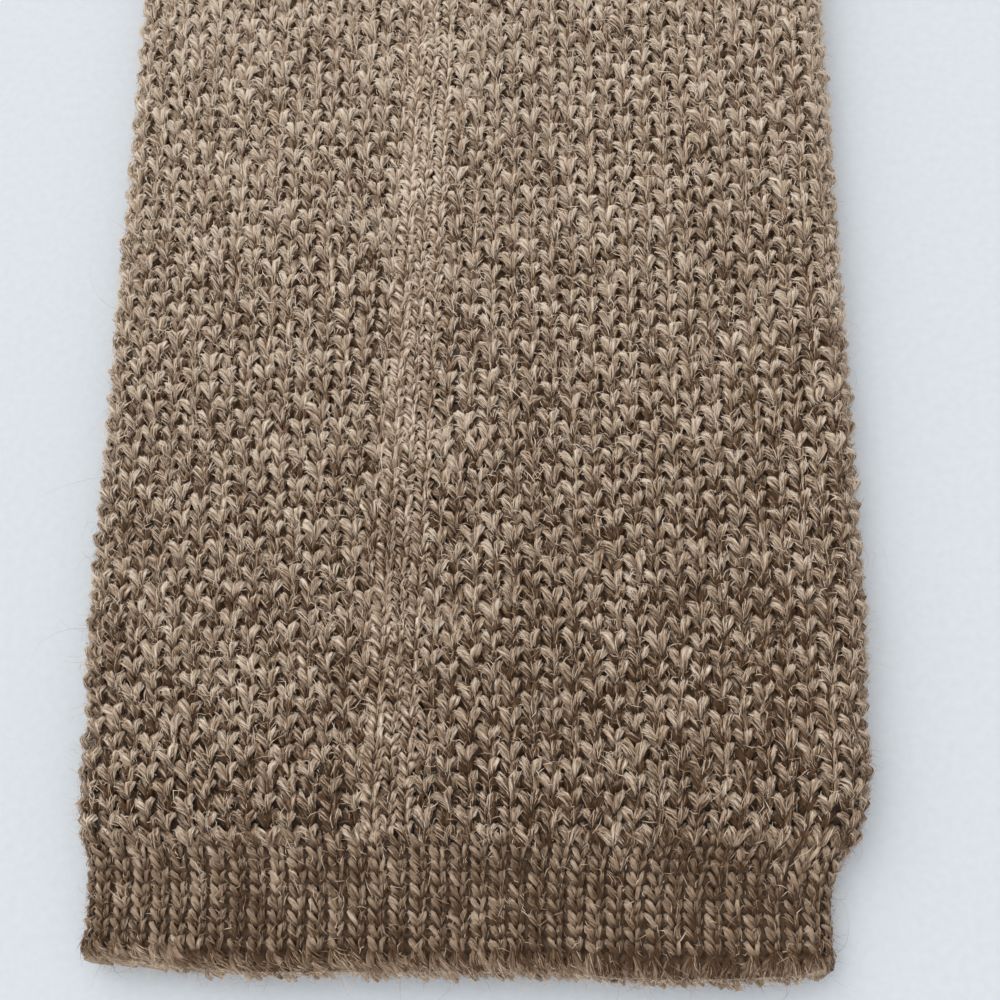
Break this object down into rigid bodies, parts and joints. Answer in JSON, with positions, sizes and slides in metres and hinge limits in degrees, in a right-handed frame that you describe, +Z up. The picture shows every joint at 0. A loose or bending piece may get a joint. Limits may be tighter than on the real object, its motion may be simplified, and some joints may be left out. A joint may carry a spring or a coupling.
{
  "type": "knit tie",
  "caption": "Flat square-ended wool knit tie laid straight, two folded tuck-stitch blades, plain-knit neck and end bands, centre-back seam.",
  "frame": {"origin": "middle of the laid tie's length and width, on the surface that it lies on", "axes": "+Y along the tie from the front tip to the tail tip, +X across it, +Z up out of the back seam's side"},
  "size_m": [0.065, 1.459, 0.0049],
  "materials": {
    "tuck_knit": "matt marled two-ply wool in a staggered tuck stitch, lightly fuzzy",
    "seam_knit": "matt marled wool, three plain wales with chunky legs",
    "plain_knit": "matt marled wool in fine plain knit with a linked edge"
  },
  "bodies": {
    "root": {"front_blade": "tuck_knit", "tail_blade": "tuck_knit", "neck_band": "tuck_knit", "back_seam": "seam_knit", "front_end_band": "plain_knit", "tail_end_band": "plain_knit"}
  },
  "joints": []
}
